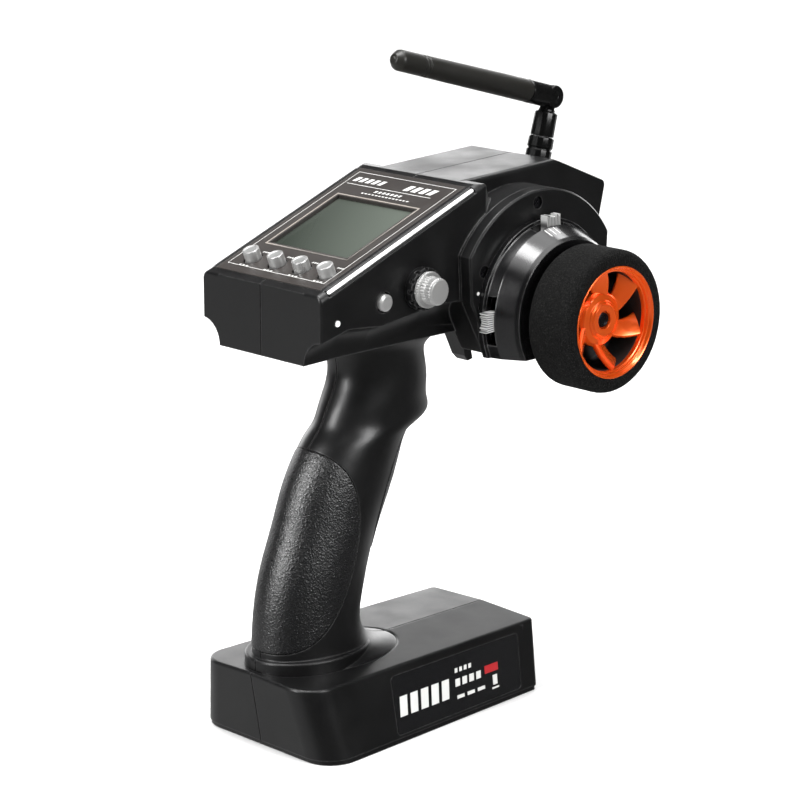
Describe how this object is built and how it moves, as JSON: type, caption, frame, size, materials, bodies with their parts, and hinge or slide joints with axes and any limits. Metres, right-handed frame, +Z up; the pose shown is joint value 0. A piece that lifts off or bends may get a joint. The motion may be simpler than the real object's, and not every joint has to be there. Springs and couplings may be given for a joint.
{
  "type": "radio transmitter controller",
  "caption": "Pistol-grip radio transmitter with sloping display, foam steering wheel on the side, trigger, folding whip antenna and box base.",
  "frame": {"origin": "on the base's flat underside, midway across it and near the middle of its length", "axes": "+Z up; +X towards the steering wheel; -Y towards the user, the side that the display faces"},
  "size_m": [0.1228, 0.1803, 0.2759],
  "materials": {
    "case_plastic": "satin",
    "shield_metallic": "satin",
    "panel_label": "semi-gloss",
    "base_label": "gloss",
    "display_glass": "gloss",
    "lcd": "satin",
    "light_trim": "gloss",
    "silver_plastic": "satin",
    "foam": "matte",
    "anodised_rim": "gloss",
    "steel": "satin",
    "black_steel": "satin",
    "grip_rubber": "grained",
    "antenna_plastic": "satin",
    "brass": "satin",
    "circuit_board": "satin",
    "component_black": "satin",
    "cell_wrap": "gloss",
    "lead_cover": "satin"
  },
  "bodies": {
    "transmitter": {"aerial_lead": "lead_cover", "antenna_collar": "case_plastic", "antenna_connector": "brass", "base_label": "base_label", "base_shell_left": "case_plastic", "base_shell_right": "case_plastic", "battery_cells": "cell_wrap", "battery_contacts": "brass", "battery_tray": "case_plastic", "bottom_plate": "case_plastic", "bottom_screws": "steel", "dial_collar": "case_plastic", "dial_sensor": "component_black", "display_bezel": "panel_label", "display_lens": "display_glass", "edge_trim_strips": "light_trim", "grip_pad_front": "grip_rubber", "grip_pad_rear": "grip_rubber", "handle_shell_left": "case_plastic", "handle_shell_right": "case_plastic", "head_screws": "steel", "head_shell_left": "case_plastic", "head_shell_right": "case_plastic", "housing_screws": "black_steel", "indicator_light_pipe": "light_trim", "key_switches": "component_black", "lcd_module": "lcd", "lead_socket": "case_plastic", "main_board": "circuit_board", "power_lead": "lead_cover", "power_switch_body": "case_plastic", "radio_board": "circuit_board", "radio_shield_can": "steel", "side_key_switch": "component_black", "steering_bearings": "steel", "steering_housing_plate": "case_plastic", "steering_return_spring": "steel", "steering_sensor": "component_black", "steering_shield": "shield_metallic", "throttle_sensor": "component_black", "trigger_pin": "steel", "trigger_return_spring": "steel"},
    "steering_wheel": {"wheel_tyre": "foam", "wheel_rim": "anodised_rim", "wheel_shaft": "steel", "wheel_screw": "black_steel"},
    "trigger": {"trigger": "case_plastic"},
    "dial": {"dial_knob": "silver_plastic"},
    "side_key": {"side_key": "silver_plastic"},
    "trim_lever_upper": {"trim_lever_upper": "silver_plastic"},
    "trim_lever_rear": {"trim_lever_rear": "silver_plastic"},
    "antenna_stem": {"antenna_stem": "antenna_plastic"},
    "antenna_whip": {"antenna_whip": "antenna_plastic", "antenna_pin": "steel"},
    "power_switch": {"power_switch_slider": "case_plastic"},
    "battery_door": {"battery_door": "case_plastic"},
    "display_key_1": {"display_key_1": "silver_plastic"},
    "display_key_2": {"display_key_2": "silver_plastic"},
    "display_key_3": {"display_key_3": "silver_plastic"},
    "display_key_4": {"display_key_4": "silver_plastic"}
  },
  "joints": [
    {"name": "steering_turn", "type": "hinge", "parent": "transmitter", "child": "steering_wheel", "pos_m": [0, 0.0576, 0.1708], "axis": [1, 0, 0], "range_deg": [-35, 35], "stiffness_Nm_per_rad": 0.2},
    {"name": "trigger_pull", "type": "hinge", "parent": "transmitter", "child": "trigger", "pos_m": [0, 0.048, 0.178], "axis": [1, 0, 0], "range_deg": [-25, 12], "stiffness_Nm_per_rad": 0.3},
    {"name": "dial_turn", "type": "hinge", "parent": "transmitter", "child": "dial", "pos_m": [0.0348, -0.005, 0.187], "axis": [1, 0, 0], "range_deg": [-150, 150]},
    {"name": "side_key_press", "type": "slide", "parent": "transmitter", "child": "side_key", "axis": [-1, 0, 0], "range_m": [0, 0.001], "stiffness_N_per_m": 400},
    {"name": "trim_upper_tilt", "type": "hinge", "parent": "transmitter", "child": "trim_lever_upper", "pos_m": [0, 0.0576, 0.1708], "axis": [1, 0, 0], "range_deg": [-8, 8], "stiffness_Nm_per_rad": 0.2},
    {"name": "trim_rear_tilt", "type": "hinge", "parent": "transmitter", "child": "trim_lever_rear", "pos_m": [0, 0.0576, 0.1708], "axis": [1, 0, 0], "range_deg": [-8, 8], "stiffness_Nm_per_rad": 0.2},
    {"name": "antenna_swivel", "type": "hinge", "parent": "transmitter", "child": "antenna_stem", "pos_m": [0, 0.1063, 0.2478], "axis": [0, 0.2588, 0.9659], "range_deg": [-170, 170]},
    {"name": "antenna_fold", "type": "hinge", "parent": "antenna_stem", "child": "antenna_whip", "pos_m": [0, 0.1063, 0.2478], "axis": [-1, 0, 0], "range_deg": [0, 90]},
    {"name": "power_switch_slide", "type": "slide", "parent": "transmitter", "child": "power_switch", "axis": [0, 1, 0], "range_m": [0, 0.004]},
    {"name": "battery_door_slide", "type": "slide", "parent": "transmitter", "child": "battery_door", "axis": [0, 1, 0], "range_m": [0, 0.09]},
    {"name": "display_key_1_press", "type": "slide", "parent": "transmitter", "child": "display_key_1", "axis": [0, 0.3551, -0.9348], "range_m": [0, 0.0008], "stiffness_N_per_m": 400},
    {"name": "display_key_2_press", "type": "slide", "parent": "transmitter", "child": "display_key_2", "axis": [0, 0.3551, -0.9348], "range_m": [0, 0.0008], "stiffness_N_per_m": 400},
    {"name": "display_key_3_press", "type": "slide", "parent": "transmitter", "child": "display_key_3", "axis": [0, 0.3551, -0.9348], "range_m": [0, 0.0008], "stiffness_N_per_m": 400},
    {"name": "display_key_4_press", "type": "slide", "parent": "transmitter", "child": "display_key_4", "axis": [0, 0.3551, -0.9348], "range_m": [0, 0.0008], "stiffness_N_per_m": 400}
  ]
}
